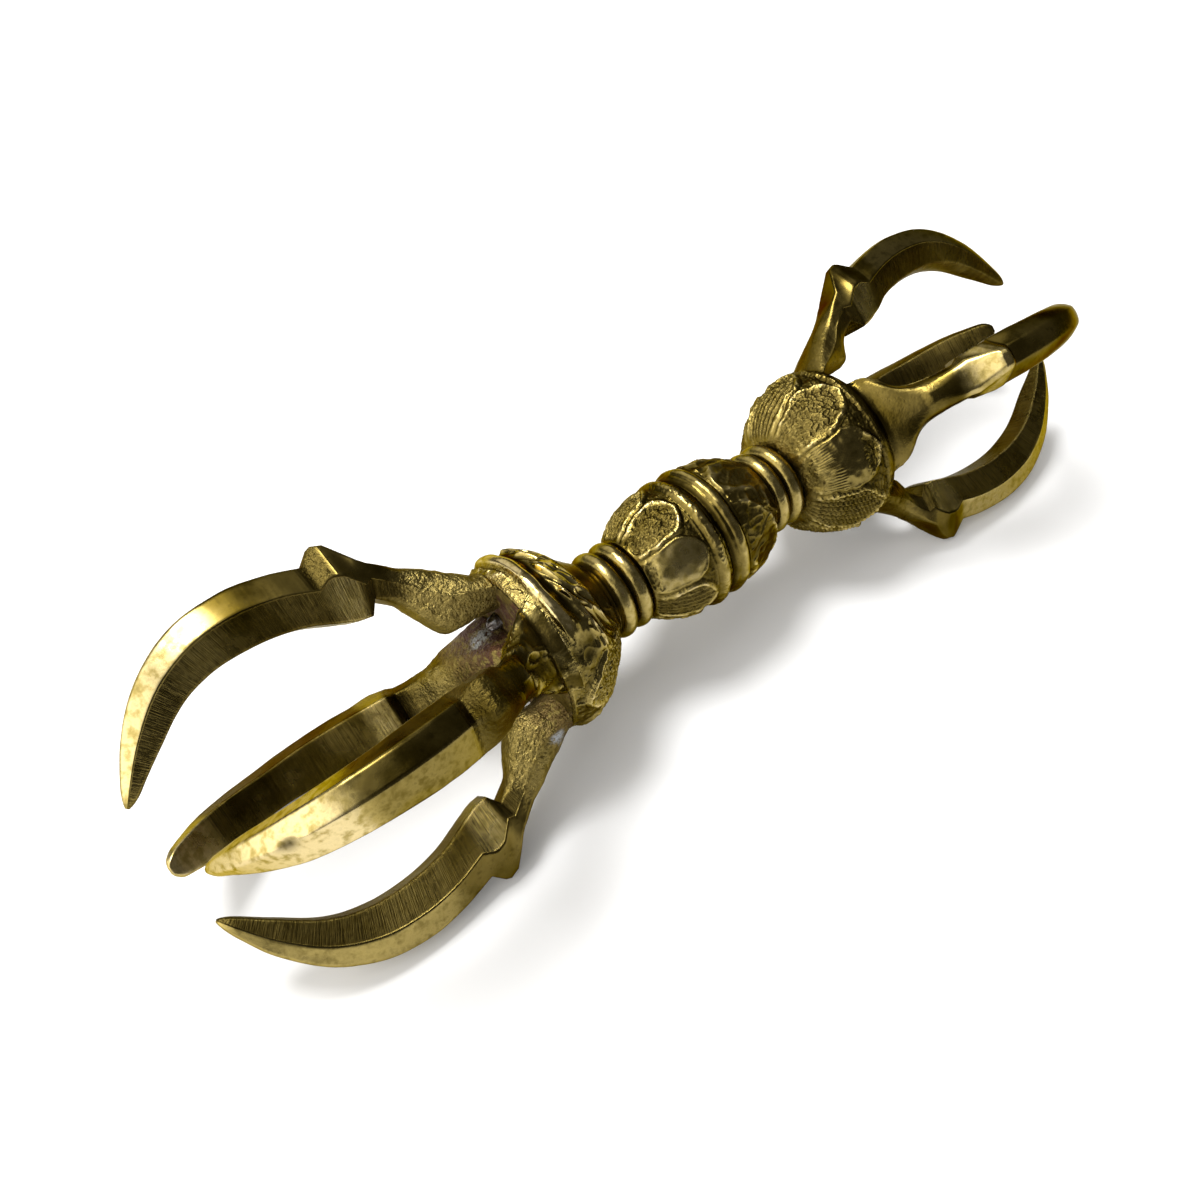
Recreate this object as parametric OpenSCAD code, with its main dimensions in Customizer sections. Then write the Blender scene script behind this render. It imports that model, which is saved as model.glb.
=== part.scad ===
// Dorje with open claws, lying on the four lower ones. Its axis runs along X, the near end at -X.
// A lotus hub, two ringed collars and two lotus heads are threaded on a rod, with four claws brazed to each head.

/* [Hub] */
// Length of the hub between the collars
hub_length = 27.2; // [22:0.5:40]
// Radius of the hub's buds beside the girdle
hub_radius = 11.1; // [9:0.1:14]
// Radius of the hub where it meets a collar
hub_end_radius = 7; // [6.6:0.1:8]
// Fullness of the buds, larger for squarer shoulders
hub_fullness = 3.2; // [2:0.1:5]
// Radius of the rounded bead of a girdle ring
girdle_bead = 1.2; // [0.8:0.1:1.6]
// How far a girdle ring stands above the buds
girdle_rise = 0.5; // [0.2:0.1:1]
// Distance between the two girdle rings
girdle_pitch = 4.2; // [3.2:0.1:6]

/* [Collars] */
// Length of one collar
collar_length = 6.6; // [6.6:0.1:10]
// Radius of a collar's plain sleeve
sleeve_radius = 6.2; // [5.6:0.1:7]
// Radius of the rounded bead of a collar ring
ring_bead = 1.6; // [1.2:0.1:1.6]
// How far a collar ring stands above the sleeve
ring_rise = 1.4; // [0.6:0.1:1.6]
// Distance between the two rings of a collar
ring_pitch = 3.3; // [2.4:0.1:3.4]

/* [Heads] */
// Length of one lotus head
head_length = 14.8; // [11:0.2:20]
// Radius of a head where it meets its collar
head_neck_radius = 6.8; // [6.2:0.1:8]
// Largest radius of a head
head_radius = 14.7; // [14:0.1:18]
// Radius of the flat crown that the claws stand on
crown_radius = 13.9; // [12:0.1:14]
// Length of the rounded shoulder between the largest radius and the crown
shoulder_length = 3; // [1:0.5:5]
// Shape of the near head's cup, smaller for a rounder one
near_cup = 1.1; // [0.4:0.05:1.4]
// Shape of the far head's cup, smaller for a rounder one
far_cup = 0.52; // [0.4:0.05:1.4]

/* [Rod and joints] */
// Radius of the rod through the handle
rod_radius = 2; // [1.5:0.1:2.4]
// Clearance of the rod in its bores
rod_clearance = 0.05; // [0.02:0.01:0.1]
// Thickness of the braze on a crown
braze_thickness = 0.4; // [0.2:0.1:0.8]
// Width of bare crown left round the braze
braze_margin = 0.9; // [0.4:0.1:2]
// Gap between the solder blob and the feet on its two sides
solder_gap = 0.2; // [0.1:0.1:0.5]
// Height of the solder blob above the braze
solder_height = 3; // [1.5:0.1:4]

/* [Claws] */
// Reach of a claw's tip beyond the crown, along the axis
claw_reach = 54.6; // [48:0.2:65]
// Largest rise of a blade's back above the crown radius
blade_rise = 13.7; // [11:0.1:18]
// Greatest width of a blade
blade_width = 8.2; // [6:0.1:9]
// Depth of a blade from its inner flat to its back
blade_depth = 8.4; // [7:0.1:10]
// Width of a blade's inner flat
inner_flat = 6.6; // [3:0.1:7]
// Width of a blade's outer flat
outer_flat = 3.6; // [2:0.1:5.5]
// Width of the narrow shank
shank_width = 6.4; // [5:0.1:7.5]
// Depth of the step where the blade starts on the inner side
step_depth = 2; // [0.8:0.1:2.6]
// Height of the barb above the blade's back
barb_height = 2.2; // [1:0.1:4]
// Width of the ridge that the barb comes to
barb_width = 1.4; // [0.8:0.1:6]
// Greatest width of a claw's fan-shaped foot
foot_width = 14; // [10:0.2:15]
// Distance from the axis to the inner end of an ordinary foot at the near end
foot_end = 7.5; // [6.5:0.1:9]
// Distance from the axis to the inner end of an ordinary foot at the far end
far_foot_end = 10.5; // [6.5:0.1:11]
// How far the tongue-shaped foot of a lower back claw runs on past the axis
tongue_end = 3; // [0:0.1:3.5]
// Width of the tongue at its end
tongue_width = 5.2; // [3:0.1:5.6]
// Depth of the flats worn into the lower claws where the dorje lies
rest_wear = 0.6; // [0.4:0.05:0.8]

/* [Set of the claws] */
// Each claw's hand setting: turn about the axis, tilt outwards, lean sideways, reach in mm, roll of the blade
// and how much farther out the blade starts, in mm
near_upper_back_set = [1, 3, 4, 0, 0, 0];
near_upper_front_set = [1, 4, -1, -4, -20, 0];
near_lower_back_set = [1, 0, 0, 1, 0, 0];
near_lower_front_set = [1, -1.2, 0, -0.6, -8, 0];
far_upper_back_set = [-1, -0.6, 2, -1, 0, 0];
far_upper_front_set = [-1.5, 1.5, 2, -5.5, 0, 4.8];
far_lower_back_set = [1, 0, 0, 2.6, 0, 0];
far_lower_front_set = [1.5, -0.4, -2, -0.6, 0, -5];

/* [Hidden] */

$fn = 96;
brass = [0.66, 0.54, 0.27];
dark_brass = [0.5, 0.4, 0.18];
pale_brass = [0.72, 0.61, 0.34];
flux_brown = [0.42, 0.27, 0.2];
solder_grey = [0.66, 0.67, 0.68];

collar_x = hub_length / 2;
head_x = collar_x + collar_length;
crown_x = head_x + head_length;
seat_x = crown_x + braze_thickness;
widest_x = crown_x - shoulder_length;
bore_radius = rod_radius + rod_clearance;
profile_steps = 12;

// Angles of the claws about the axis, from +Y towards +Z
upper_back = 45;
upper_front = 135;
lower_front = 225;
lower_back = 315;

// A claw is a ladder of rungs from the foot to the tip. A rung joins a point of the inner line to one of
// the outer line, and holds the half widths there: [x, r, x, r, inner, side, outer], x from the seat.
back_r = crown_radius + blade_rise;
shank = shank_width / 2;
side = blade_width / 2;
inner = inner_flat / 2;
outer = outer_flat / 2;
foot = foot_width / 2;
barb = barb_width / 2;
tongue = tongue_width / 2;
foot_sink = 5;
blade_start = 16.4;
fold = [0.52, 0.62];

// Foot from below the seat to the shank, its inner end at radius r with half width w
function foot_rungs(r, w) = [
    [-foot_sink, r, -foot_sink, crown_radius - 1.4, w, foot, 0.75 * foot],
    [0, r, 0, crown_radius, w, foot, 0.75 * foot],
    [3.2, r + 0.4, 2, crown_radius + 1, w, 0.92 * foot, 0.66 * foot],
    [7.4, max(crown_radius - 6.3, r + 0.3), 4.8, crown_radius + 2.9, 3.2, shank + 1.9, shank + 0.7],
    [10, max(crown_radius - 2.7, r + 0.9), 7.8, crown_radius + 4.8, shank - 0.2, shank + 0.6, shank - 0.3],
    [12, crown_radius + 0.9, 10.6, crown_radius + 6.5, shank - 0.6, shank, shank - 0.6],
    [14.9, crown_radius + 3.4, 13.6, crown_radius + 8.5, shank - 0.6, shank, shank - 0.6]];

// Step on the inner side and barb on the back, with sharp edges
barb_r = back_r - 1.9;
barb_rungs = [
    [blade_start, crown_radius + 3.4 - step_depth, 14.6, crown_radius + 9.4, inner, side - 0.3, shank - 0.4],
    [17.8, crown_radius + 1.6, 17.4, barb_r + 0.75 * barb_height, inner, side, barb],
    [18.9, crown_radius + 1.9, 18.9, barb_r + barb_height, inner, side, barb],
    [19.6, crown_radius + 2.2, 19.7, barb_r + 0.85 * barb_height, inner, side, barb],
    [21.2, crown_radius + 2.8, 21.4, barb_r, inner, side, outer]];

blade_rungs = [
    [21.4, crown_radius + 2.9, 21.6, barb_r + 0.05, inner, side, outer],
    [25.6, crown_radius + 4.5, 26.6, back_r - 0.5, inner, side, outer],
    [31, back_r - blade_depth, 32.8, back_r, inner, side - 0.2, outer],
    [37, back_r - blade_depth - 0.3, 39.6, back_r - 1.3, inner - 0.3, side - 0.6, outer - 0.1],
    [42.6, back_r - blade_depth - 2.2, 46, back_r - 5.2, inner - 0.6, side - 1.1, outer - 0.3],
    [48, back_r - blade_depth - 6.2, 51, back_r - 11.2, inner - 1, side - 1.9, outer - 0.7],
    [claw_reach - 1, back_r - 19.5, claw_reach, back_r - 18.5, 0.6, 1, 0.6]];

// Smooth curve through the points, with steps points to each stretch
function spline(p, q, r, s, t) =
    q + 0.5 * t * (r - p + t * (2 * p - 5 * q + 4 * r - s + t * (3 * (q - r) + s - p)));
function smooth(points, steps) = [
    for (i = [0 : len(points) - 2], k = [0 : steps - 1])
        spline(points[max(i - 1, 0)], points[i], points[i + 1], points[min(i + 2, len(points) - 1)], k / steps),
    points[len(points) - 1]];

// Shifts the start of the blade, stretching the shank and shortening the blade or the other way round
function shifted(x, shift) =
    x + shift * min(x / blade_start, (claw_reach - x) / (claw_reach - blade_start));
function claw_rungs(r, w, shift) = [
    for (g = concat(smooth(foot_rungs(r, w), 3), barb_rungs, smooth(blade_rungs, 4)))
        [shifted(g[0], shift), g[1], shifted(g[2], shift), g[3], g[4], g[5], g[6]]];

// Half width of the tongue where it crosses the axis, beside which the solder blob lies
tongue_middle = between(tongue, foot, tongue_end / (fold[0] * (crown_radius + tongue_end)));
solder_r = (foot_end + tongue_middle) / 2;
solder_radius = (foot_end - tongue_middle) / 2 - solder_gap;

// Height of the axis above the table, where the backs of the lower claws touch it
axis_height = max([for (g = concat(barb_rungs, blade_rungs)) (g[3] + g[6]) * sin(45)]) - rest_wear;

function between(a, b, t) = a + (b - a) * t;
// Point of a rung at share t of its depth and w across, rolled about the rung's middle
function rung_point(g, t, w, roll) =
    let (depth = norm([g[2] - g[0], g[3] - g[1]]), a = (t - 0.5) * depth)
    let (k = 0.5 + (a * cos(roll) - w * sin(roll)) / depth)
    [between(g[0], g[2], k), between(g[1], g[3], k), a * sin(roll) + w * cos(roll)];

// Eight-sided section, rolled little by little from the foot to the start of the blade
function section(g, roll) =
    let (r = roll * min(max(g[0] / blade_start, 0), 1))
    concat([for (c = [[0, -g[4]], [0, g[4]], [fold[0], g[5]], [fold[1], g[5]]]) rung_point(g, c[0], c[1], r)],
           [for (c = [[1, g[6]], [1, -g[6]], [fold[1], -g[5]], [fold[0], -g[5]]]) rung_point(g, c[0], c[1], r)]);

// Solid of revolution about X from a list of [radius, x]
module turned(profile) {
    rotate([0, 90, 0]) rotate_extrude() polygon(profile);
}

// Ring with a round bead whose crest is at the given radius
module bead_ring(crest, bead, x) {
    translate([x, 0, 0]) rotate([0, 90, 0]) rotate_extrude() translate([crest - bead, 0]) circle(bead, $fn = 48);
}

module rod_bore(from_x, to_x) {
    translate([from_x - 1, 0, 0]) rotate([0, 90, 0]) cylinder(r = bore_radius, h = to_x - from_x + 2);
}

// Places what is built round the axis at the height where it lies
module on_axis() {
    translate([0, 0, axis_height]) children();
}

// Far half as built, near half mirrored
module at_end(near) {
    on_axis() mirror([near ? 1 : 0, 0, 0]) children();
}

function hub_r(x) =
    hub_end_radius + (hub_radius - hub_end_radius) * (1 - pow(abs(x) / collar_x, hub_fullness));

module hub() {
    half_steps = [-profile_steps : profile_steps];
    color(brass) on_axis() difference() {
        union() {
            turned(concat([[0, -collar_x]],
                          [for (i = half_steps) let (x = collar_x * i / profile_steps) [hub_r(x), x]],
                          [[0, collar_x]]));
            for (s = [-1, 1]) bead_ring(hub_radius + girdle_rise, girdle_bead, s * girdle_pitch / 2);
        }
        rod_bore(-collar_x, collar_x);
    }
}

module collar(near) {
    color(pale_brass) at_end(near) difference() {
        union() {
            translate([collar_x, 0, 0]) rotate([0, 90, 0]) cylinder(r = sleeve_radius, h = collar_length);
            for (s = [-1, 1])
                bead_ring(sleeve_radius + ring_rise, ring_bead, collar_x + (collar_length + s * ring_pitch) / 2);
        }
        rod_bore(collar_x, head_x);
    }
}
module near_collar() { collar(true); }
module far_collar() { collar(false); }

// Cup of the head from its collar to its widest place, then the rounded shoulder to the crown
function cup_r(t, cup) = head_neck_radius + (head_radius - head_neck_radius) * pow(sin(90 * t), cup);
function shoulder_r(t) = crown_radius + (head_radius - crown_radius) * cos(90 * t);

module head(near) {
    color(brass) at_end(near) difference() {
        turned(concat([[0, head_x]],
                      [for (i = [0 : profile_steps]) let (t = i / profile_steps)
                          [cup_r(t, near ? near_cup : far_cup), between(head_x, widest_x, t)]],
                      [for (i = [1 : 4]) [shoulder_r(i / 4), between(widest_x, crown_x, i / 4)]],
                      [[0, crown_x]]));
        rod_bore(head_x, crown_x);
    }
}
module near_head() { head(true); }
module far_head() { head(false); }

module tie_rod() {
    color(pale_brass) on_axis() translate([-crown_x, 0, 0]) rotate([0, 90, 0])
        cylinder(r = rod_radius, h = 2 * crown_x);
}

module braze(near) {
    color(flux_brown) at_end(near) translate([crown_x, 0, 0]) rotate([0, 90, 0])
        cylinder(r = crown_radius - braze_margin, h = braze_thickness);
}
module near_braze() { braze(true); }
module far_braze() { braze(false); }

// Rounded blob of solder between the tongue and the upper back foot
module solder(near) {
    color(solder_grey) at_end(near) rotate([upper_back, 0, 0]) translate([0, solder_r, 0])
        turned(concat([[0, seat_x]],
                      [for (i = [0 : 6]) [solder_radius * cos(15 * i), seat_x + solder_height * sin(15 * i)]]));
}
module near_solder() { solder(true); }
module far_solder() { solder(false); }

// Claw in its own plane: x from the seat, y from the axis, z across
module claw_body(rungs, roll) {
    sides = 8;
    last = len(rungs) - 1;
    points = [for (g = rungs) each section(g, roll)];
    walls = [for (i = [0 : last - 1], j = [0 : sides - 1])
        let (a = i * sides + j, b = i * sides + (j + 1) % sides, c = a + sides, d = b + sides)
        each [[a, b, d], [a, d, c]]];
    ends = [[for (j = [sides - 1 : -1 : 0]) j], [for (j = [0 : sides - 1]) last * sides + j]];
    polyhedron(points, concat(walls, ends));
}

// Claw as it was set by hand, trimmed to its seat, with the table's wear on the lower ones
module claw(near, angle, setting) {
    room = 4 * claw_reach;
    rungs = angle == lower_back ? claw_rungs(-tongue_end, tongue, setting[5])
                                : claw_rungs(near ? foot_end : far_foot_end, 0.5 * foot, setting[5]);
    color(dark_brass) difference() {
        at_end(near) intersection() {
            rotate([angle + setting[0], 0, 0]) translate([seat_x + setting[3], crown_radius, 0])
                rotate([0, -setting[2], setting[1]]) translate([0, -crown_radius, 0]) claw_body(rungs, setting[4]);
            translate([seat_x, -room / 2, -room / 2]) cube(room);
        }
        translate([-room / 2, -room / 2, -room]) cube(room);
    }
}
module near_upper_back_claw() { claw(true, upper_back, near_upper_back_set); }
module near_upper_front_claw() { claw(true, upper_front, near_upper_front_set); }
module near_lower_back_claw() { claw(true, lower_back, near_lower_back_set); }
module near_lower_front_claw() { claw(true, lower_front, near_lower_front_set); }
module far_upper_back_claw() { claw(false, upper_back, far_upper_back_set); }
module far_upper_front_claw() { claw(false, upper_front, far_upper_front_set); }
module far_lower_back_claw() { claw(false, lower_back, far_lower_back_set); }
module far_lower_front_claw() { claw(false, lower_front, far_lower_front_set); }

hub();
near_collar();
far_collar();
near_head();
far_head();
tie_rod();
near_braze();
far_braze();
near_solder();
far_solder();
near_upper_back_claw();
near_upper_front_claw();
near_lower_back_claw();
near_lower_front_claw();
far_upper_back_claw();
far_upper_front_claw();
far_lower_back_claw();
far_lower_front_claw();
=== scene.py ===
"""Looks of the dorje: aged brass with carved lotus petals and filed claws, lying on a pale floor."""
import math
from dataclasses import dataclass

import bpy
import numpy as np
from mathutils import Euler, Matrix, Vector, noise


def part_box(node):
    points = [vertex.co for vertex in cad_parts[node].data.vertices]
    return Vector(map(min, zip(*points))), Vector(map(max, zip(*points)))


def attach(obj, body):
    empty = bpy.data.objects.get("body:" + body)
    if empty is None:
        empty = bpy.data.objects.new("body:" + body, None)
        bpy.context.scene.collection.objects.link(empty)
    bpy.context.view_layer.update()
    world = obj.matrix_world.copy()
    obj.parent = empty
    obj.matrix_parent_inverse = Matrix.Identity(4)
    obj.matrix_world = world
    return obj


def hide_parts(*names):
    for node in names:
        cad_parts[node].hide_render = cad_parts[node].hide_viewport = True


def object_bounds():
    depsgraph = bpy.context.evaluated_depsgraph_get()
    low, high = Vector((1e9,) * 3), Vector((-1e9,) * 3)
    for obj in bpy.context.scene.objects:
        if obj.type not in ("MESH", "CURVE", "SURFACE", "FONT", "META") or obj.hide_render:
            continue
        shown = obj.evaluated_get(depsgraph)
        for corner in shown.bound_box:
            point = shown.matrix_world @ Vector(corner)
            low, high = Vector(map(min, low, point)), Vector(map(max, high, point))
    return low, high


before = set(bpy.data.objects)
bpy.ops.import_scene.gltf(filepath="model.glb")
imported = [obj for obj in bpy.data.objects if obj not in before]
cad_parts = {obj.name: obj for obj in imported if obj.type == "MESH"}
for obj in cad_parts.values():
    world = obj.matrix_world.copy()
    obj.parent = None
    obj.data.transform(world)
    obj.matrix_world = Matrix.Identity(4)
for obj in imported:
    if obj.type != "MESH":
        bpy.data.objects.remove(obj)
start_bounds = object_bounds()
MM = 0.001
HALF_PI = 0.5 * math.pi
FULL_TURN = 2 * math.pi
TINY = 1e-9

# Places along the axis and its height, from the solids, in millimetres
LOW, HIGH = 0, 1
AXIS = 0.5 * (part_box("hub")[LOW][2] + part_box("hub")[HIGH][2]) / MM
COLLAR_X = round(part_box("hub")[HIGH][0] / MM, 3)
HEAD_X = round(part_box("far_head")[LOW][0] / MM, 3)
CROWN_X = round(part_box("far_head")[HIGH][0] / MM, 3)
SEAT_X = round(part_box("far_braze")[HIGH][0] / MM, 3)
ON_AXIS = np.array([0.0, 0.0, AXIS])

# Sizes shared with the solids, in millimetres
NECK_R, RIM_R, CROWN_R, BRAZE_R = 6.8, 14.7, 13.9, 13.0
RIM_X = 32.0
BACK_R = CROWN_R + 13.7
BARB_R = BACK_R - 1.9
BARB_RISE = 2.2
REACH, BLADE_START = 54.6, 16.4
FOOT_HALF, SHANK_HALF = 7.0, 3.2
INNER_HALF, SIDE_HALF, BACK_HALF = 3.3, 4.1, 1.8
# Where a claw's section is widest, as shares of its depth
FOLD = (0.55, 0.59)
# How full the cups of the heads are: the power of a sine, lower for a fuller cup
NEAR_FULLNESS, FAR_FULLNESS = 1.1, 0.52


# Small helpers for node trees
def new_material(name):
    mat = bpy.data.materials.new(name)
    mat.use_nodes = True
    mat.node_tree.nodes.clear()
    return mat, mat.node_tree


def add(tree, kind, inputs=None, **settings):
    """A new node, with its settings and with its inputs linked or set."""
    n = tree.nodes.new("ShaderNode" + kind)
    for k, v in settings.items():
        setattr(n, k, v)
    for k, v in (inputs or {}).items():
        if isinstance(v, bpy.types.NodeSocket):
            tree.links.new(v, n.inputs[k])
        else:
            n.inputs[k].default_value = v
    return n


def mix(tree, share, a, b):
    return add(tree, "Mix", {0: share, 6: a, 7: b}, data_type="RGBA").outputs[2]


def calc(tree, operation, a, b=0.0, c=0.0, clamp=False):
    return add(tree, "Math", {0: a, 1: b, 2: c}, operation=operation, use_clamp=clamp).outputs[0]


def ramp(tree, value, low, high, to_low=0.0, to_high=1.0):
    ends = {"Value": value, "From Min": low, "From Max": high, "To Min": to_low, "To Max": to_high}
    return add(tree, "MapRange", ends, interpolation_type="SMOOTHSTEP").outputs[0]


def grain(tree, coords, scale, detail, roughness=0.55, squeeze=None):
    if squeeze:
        coords = add(tree, "Mapping", {"Vector": coords, "Scale": squeeze}).outputs[0]
    inputs = {"Vector": coords, "Scale": scale, "Detail": detail, "Roughness": roughness}
    return add(tree, "TexNoise", inputs).outputs[0]


def attribute(tree, name):
    return add(tree, "Attribute", attribute_name=name).outputs["Fac"]


def bump(tree, strength, distance, height, below=None):
    inputs = {"Strength": strength, "Distance": distance, "Height": height}
    if below is not None:
        inputs["Normal"] = below
    return add(tree, "Bump", inputs).outputs[0]


# Aged brass: bright on worn high places and where a highlight is painted, olive brown where dull or sunk and
# where shade is painted, with grain, pits and scratches
BRIGHT = (0.68, 0.55, 0.28, 1)
GOLD = (0.33, 0.255, 0.082, 1)
AGED = (0.155, 0.114, 0.029, 1)
MIDDLE = (0.058, 0.040, 0.0048, 1)
SUNK_AND_SHADE = (0.014, 0.009, 0.0008, 1)
SHEEN = (0.42, 0.355, 0.14, 1)
FLUX = (0.060, 0.027, 0.015, 1)
SILVER = (0.30, 0.31, 0.32, 1)
# Scales of its noise, per metre
CLOUD, FINE, PIT, SPECK, SCRATCH = 90, 800, 1100, 2600, 300
MOTTLE, SOLDER_RUN = 900, 1500
# Scratches run round the axis; file marks lie across a claw, on the claw's own map
SCRATCH_SQUEEZE = (6.0, 0.3, 0.3)
FILE_MARK, FILE_SQUEEZE = 60, (1.3, 0.012, 1.0)
# Depths of its bumps
FINE_DEPTH, PIT_DEPTH, FILE_DEPTH, SCRATCH_DEPTH = 0.2 * MM, 0.5 * MM, 0.3 * MM, 0.2 * MM


def brass_tone(t, cloud, fine):
    """Colour by wear: aged, then gold, then bright where polished by use and where a highlight is painted,
    and dark in spots, in hollows and where shade is painted.
    """
    worn = attribute(t, "worn")
    rubbed_and_highlight = calc(t, "MULTIPLY", worn, ramp(t, fine, 0.25, 0.6, 0.45, 1.0), clamp=True)
    tone = mix(t, ramp(t, cloud, 0.38, 0.66), MIDDLE, AGED)
    tone = mix(t, ramp(t, rubbed_and_highlight, 0.0, 0.5), tone, GOLD)
    tone = mix(t, ramp(t, rubbed_and_highlight, 0.4, 1.0), tone, BRIGHT)
    fewer_where_worn = calc(t, "MULTIPLY_ADD", worn, -0.35, 0.45)
    tone = mix(t, calc(t, "MULTIPLY", ramp(t, fine, 0.55, 0.72), fewer_where_worn), tone, SUNK_AND_SHADE)
    # Darkest in hollows and where shade is painted
    return mix(t, calc(t, "MULTIPLY", attribute(t, "sunk_and_shade"), 0.9, clamp=True), tone, SUNK_AND_SHADE)


def stained_tone(t, obj, tone):
    """The colour with mottled brown flux and runs of silver solder over it."""
    mottle = ramp(t, grain(t, obj, MOTTLE, 6, 0.7), 0.40, 0.52)
    tone = mix(t, calc(t, "MULTIPLY", attribute(t, "stain"), mottle), tone, FLUX)
    ragged = ramp(t, grain(t, obj, SOLDER_RUN, 4), 0.38, 0.50)
    return mix(t, calc(t, "MULTIPLY", attribute(t, "silver"), ragged), tone, SILVER)


def brass(name, smoothest=0.17, roughest=0.32, filed=0.0, stained=False):
    """Brass with its least and most roughness, the strength of its file marks and whether flux stains it."""
    mat, t = new_material(name)
    obj = add(t, "TexCoord").outputs["Object"]
    cast = attribute(t, "cast")
    cloud = grain(t, obj, CLOUD, 5)
    fine = grain(t, obj, FINE, 4)
    tone = brass_tone(t, cloud, fine)
    metal = 1.0
    if stained:
        tone = stained_tone(t, obj, tone)
        metal = calc(t, "SUBTRACT", 1.0, calc(t, "MULTIPLY", attribute(t, "stain"), 0.45))
    dull = calc(t, "ADD", ramp(t, cloud, 0.3, 0.7, smoothest, roughest), calc(t, "MULTIPLY", cast, 0.12))
    dull = calc(t, "ADD", dull, calc(t, "MULTIPLY", attribute(t, "sunk_and_shade"), 0.2))
    normal = bump(t, 0.10, FINE_DEPTH, fine)
    pits = calc(t, "ADD", grain(t, obj, PIT, 3), calc(t, "MULTIPLY", grain(t, obj, SPECK, 2), 0.6))
    normal = bump(t, 0.8, PIT_DEPTH, calc(t, "MULTIPLY", pits, cast), normal)
    if filed:
        claw_map = add(t, "UVMap", uv_map="claw").outputs[0]
        marks = grain(t, claw_map, FILE_MARK, 3, 0.6, FILE_SQUEEZE)
        where = attribute(t, "filed")
        normal = bump(t, filed, FILE_DEPTH, calc(t, "MULTIPLY", marks, where), normal)
        lines = calc(t, "MULTIPLY", ramp(t, marks, 0.46, 0.62), where)
        tone = mix(t, calc(t, "MULTIPLY", lines, 0.55), tone, SUNK_AND_SHADE)
    normal = bump(t, 0.05, SCRATCH_DEPTH, grain(t, obj, SCRATCH, 2, 0.5, SCRATCH_SQUEEZE), normal)
    look = {"Base Color": tone, "Metallic": metal, "Roughness": dull, "Normal": normal}
    look["Specular Tint"] = SHEEN
    add(t, "OutputMaterial", {"Surface": add(t, "BsdfPrincipled", look).outputs[0]})
    return mat


# Solder: grey lumps with dull brown between them
SOLDER_DULL = (0.10, 0.085, 0.075, 1)
SOLDER_GREY = (0.42, 0.43, 0.45, 1)
SOLDER_LUMP, SOLDER_DEPTH = 700, 0.6 * MM


def solder():
    mat, t = new_material("solder")
    lumps = grain(t, add(t, "TexCoord").outputs["Object"], SOLDER_LUMP, 4)
    tone = mix(t, ramp(t, lumps, 0.4, 0.65), SOLDER_DULL, SOLDER_GREY)
    normal = bump(t, 0.7, SOLDER_DEPTH, lumps)
    look = {"Base Color": tone, "Metallic": 1.0, "Roughness": 0.33, "Normal": normal}
    add(t, "OutputMaterial", {"Surface": add(t, "BsdfPrincipled", look).outputs[0]})
    return mat


CLAW_MAT = brass("claw_brass", filed=0.6, stained=True)
HUB_MAT = brass("hub_brass")
HEAD_MAT = brass("head_brass")
FOLD_MAT = brass("folded_brass", 0.10, 0.20)
COLLAR_MAT = brass("collar_brass", 0.16, 0.28)
BRAZE_MAT = brass("braze", 0.3, 0.45, stained=True)
SOLDER_MAT = solder()


# Helpers for shapes
def make_piece(node, points, faces, mat, attributes=None, uv=None):
    """A piece that takes the place of a solid, with values at its points for its material to read."""
    name = node + "_look"
    mesh = bpy.data.meshes.new(name)
    mesh.from_pydata((points * MM).tolist(), [], faces)
    for k, v in (attributes or {}).items():
        a = mesh.attributes.new(k, "FLOAT", "POINT")
        a.data.foreach_set("value", np.asarray(v, np.float32))
    if uv is not None:
        layer = mesh.uv_layers.new(name="claw")
        corners = np.zeros(len(mesh.loops), np.int32)
        mesh.loops.foreach_get("vertex_index", corners)
        layer.data.foreach_set("uv", uv[corners].astype(np.float32).ravel())
    mesh.shade_smooth()
    mesh.materials.append(mat)
    obj = bpy.data.objects.new(name, mesh)
    bpy.context.scene.collection.objects.link(obj)
    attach(obj, "root")
    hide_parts(node)
    return obj


def tube_faces(rings, turns, flip):
    """Faces of a closed tube: quads between its rings, and one face at each end."""
    i, j = np.meshgrid(np.arange(rings - 1) * turns, np.arange(turns), indexing="ij")
    after = (j + 1) % turns
    quads = np.stack([i + j, i + after, i + turns + after, i + turns + j], -1).reshape(-1, 4).tolist()
    first = list(range(turns))
    last = [(rings - 1) * turns + k for k in first]
    faces = quads + [first[::-1], last]
    return [f[::-1] for f in faces] if flip else faces


def around(x, a, r):
    """Points at places along, round and off the axis."""
    return np.stack([x, r * np.cos(a), r * np.sin(a)], -1).reshape(-1, 3)


def angles(turns):
    return np.linspace(0, FULL_TURN, turns, endpoint=False)


def turned(x, y, angle):
    c, s = math.cos(angle), math.sin(angle)
    return x * c - y * s, x * s + y * c


def rough(p, scale, seed):
    """Smooth noise at each point, about -1 to 1."""
    return np.array([noise.noise(Vector((x * scale + seed, y * scale, z * scale))) for x, y, z in p])


def crests(p, scale, seed, power):
    """Thin winding crests, 0 to 1, sharper with a higher power."""
    return (1 - np.abs(rough(p, scale, seed))) ** power


def field(x, a, r, scale, seed):
    """Noise over a turned surface, about -1 to 1."""
    return rough(around(x, a, r), scale, seed).reshape(x.shape)


def layers(p, seed, noises):
    """A sum of noises, each with its scale per millimetre, its height and what it adds to the seed."""
    return sum(height * rough(p, scale, seed + more) for scale, height, more in noises)


def step(v, low, high):
    """Rises smoothly from 0 to 1."""
    t = np.clip((v - low) / (high - low), 0, 1)
    return t * t * (3 - 2 * t)


def drop(v, low, high):
    """Falls smoothly from 1 to 0."""
    return 1 - step(v, low, high)


def between(v, start, full, fading, end):
    """Rises from 0 to 1, stays there and falls back to 0."""
    return step(v, start, full) * drop(v, fading, end)


def ridge(d, height, place, width):
    """A rounded ridge, or a groove where its height is below 0."""
    return height * np.exp(-((d - place) / width) ** 2)


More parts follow.
